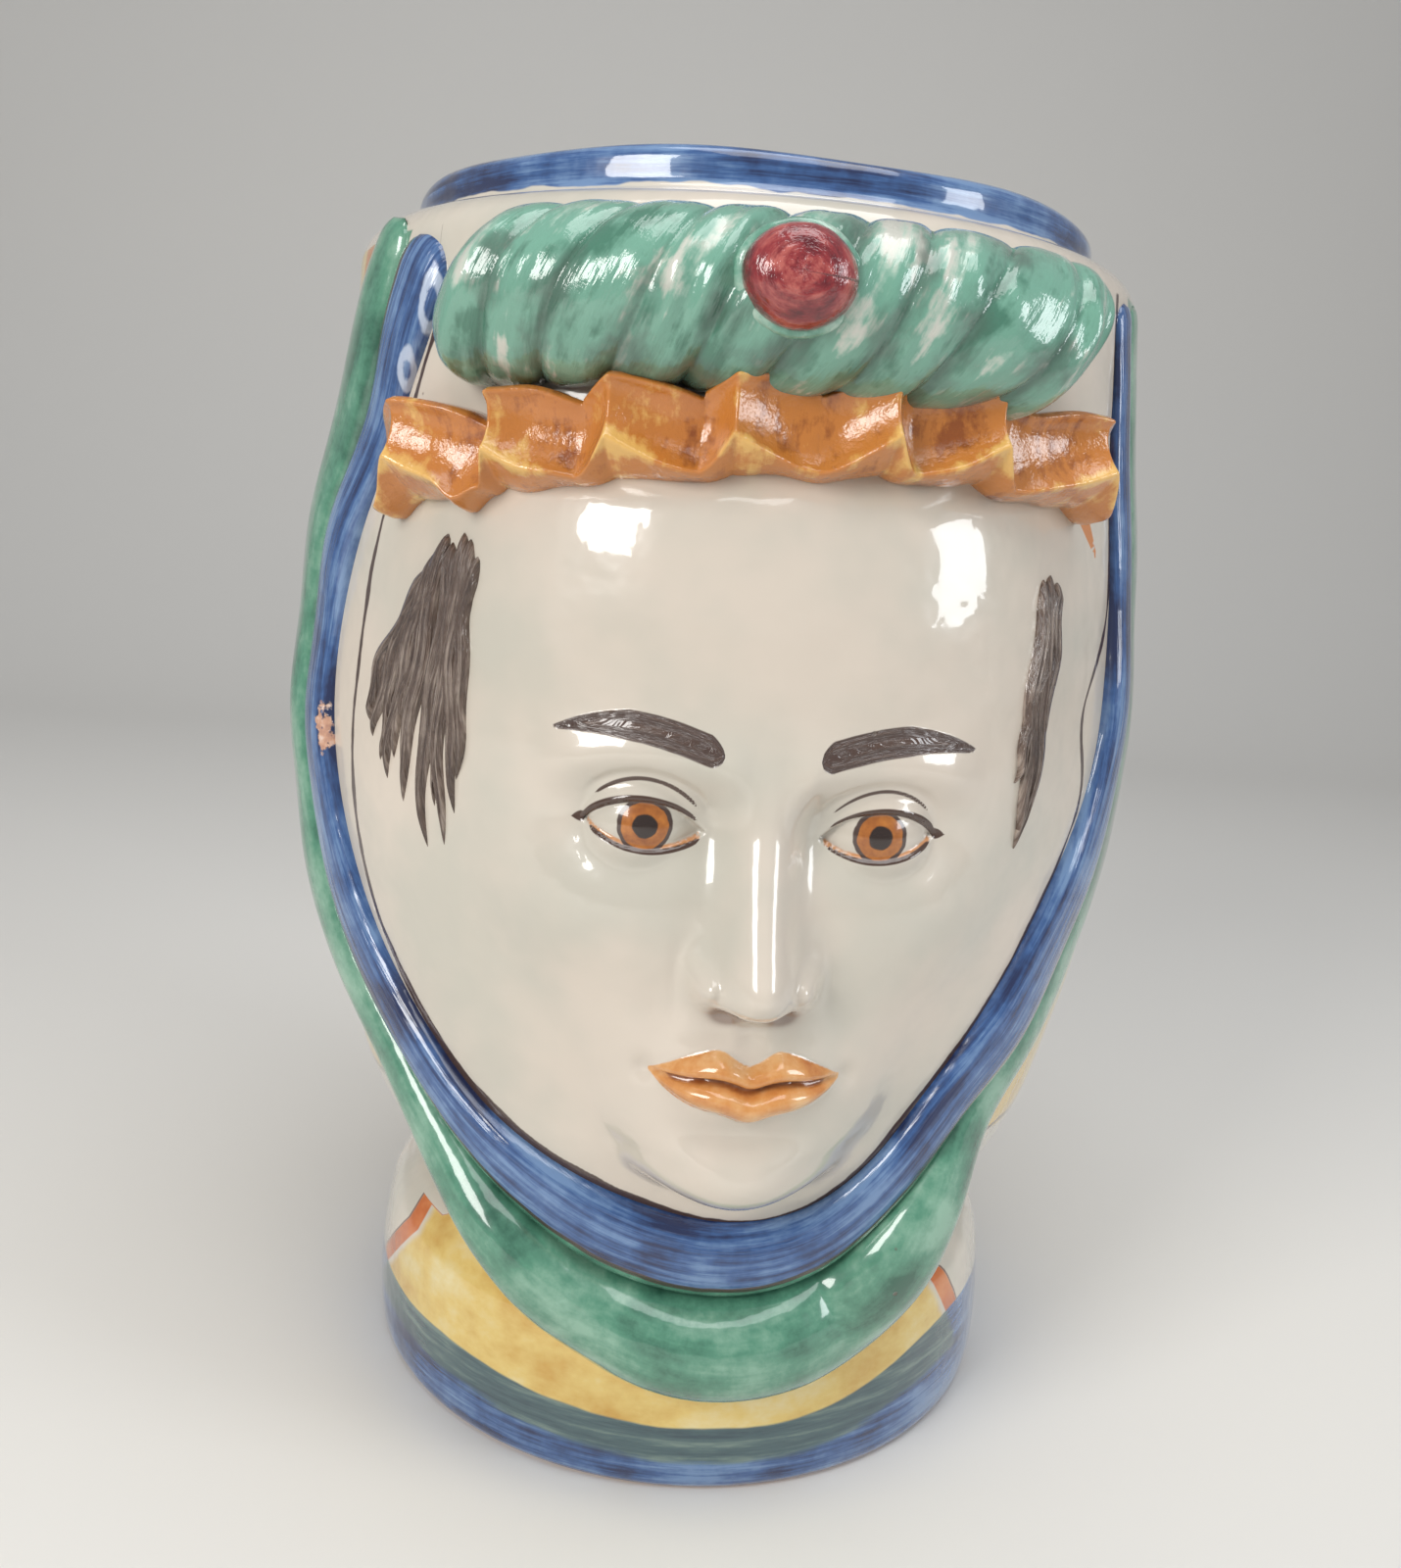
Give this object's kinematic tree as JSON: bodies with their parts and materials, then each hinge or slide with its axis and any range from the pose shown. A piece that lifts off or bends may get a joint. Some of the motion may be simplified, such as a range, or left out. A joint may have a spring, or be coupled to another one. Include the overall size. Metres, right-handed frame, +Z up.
{
  "type": "face vase",
  "caption": "Glazed earthenware vase shaped as a veiled, turbaned head on a drum foot, open at the top for flowers or a plant pot.",
  "frame": {"origin": "middle of the foot ring's underside, on the surface the vase stands on", "axes": "+Z up along the vase, -Y the way the face looks, +X to the viewer's right of the face"},
  "size_m": [0.2209, 0.238, 0.3],
  "materials": {
    "glaze_white": "glossy cream-white tin glaze",
    "glaze_blue": "glossy glaze, brushed cobalt blue",
    "glaze_green": "glossy glaze, mottled copper green",
    "glaze_orange": "glossy glaze, brushed orange ochre",
    "glaze_yellow": "glossy glaze, washed yellow",
    "glaze_brown": "glossy glaze, brushed manganese brown",
    "glaze_crimson": "glossy glaze, crimson",
    "bare_clay": "unglazed pinkish clay"
  },
  "bodies": {
    "root": {"pedestal_foot": "glaze_yellow", "floor_slab": "bare_clay", "head_shell": "glaze_white", "mouth_rim": "glaze_blue", "face_mask": "glaze_white", "nose": "glaze_white", "upper_lip": "glaze_orange", "lower_lip": "glaze_orange", "left_eyeball": "glaze_white", "left_upper_lid": "glaze_white", "left_lower_lid": "glaze_white", "right_eyeball": "glaze_white", "right_upper_lid": "glaze_white", "right_lower_lid": "glaze_white", "left_temple_lock": "glaze_brown", "right_temple_lock": "glaze_brown", "frill_ribbon": "glaze_orange", "turban_roll": "glaze_green", "jewel_collar": "glaze_green", "jewel_stone": "glaze_crimson", "veil_edge": "glaze_blue", "scarf_fold": "glaze_green"}
  },
  "joints": []
}
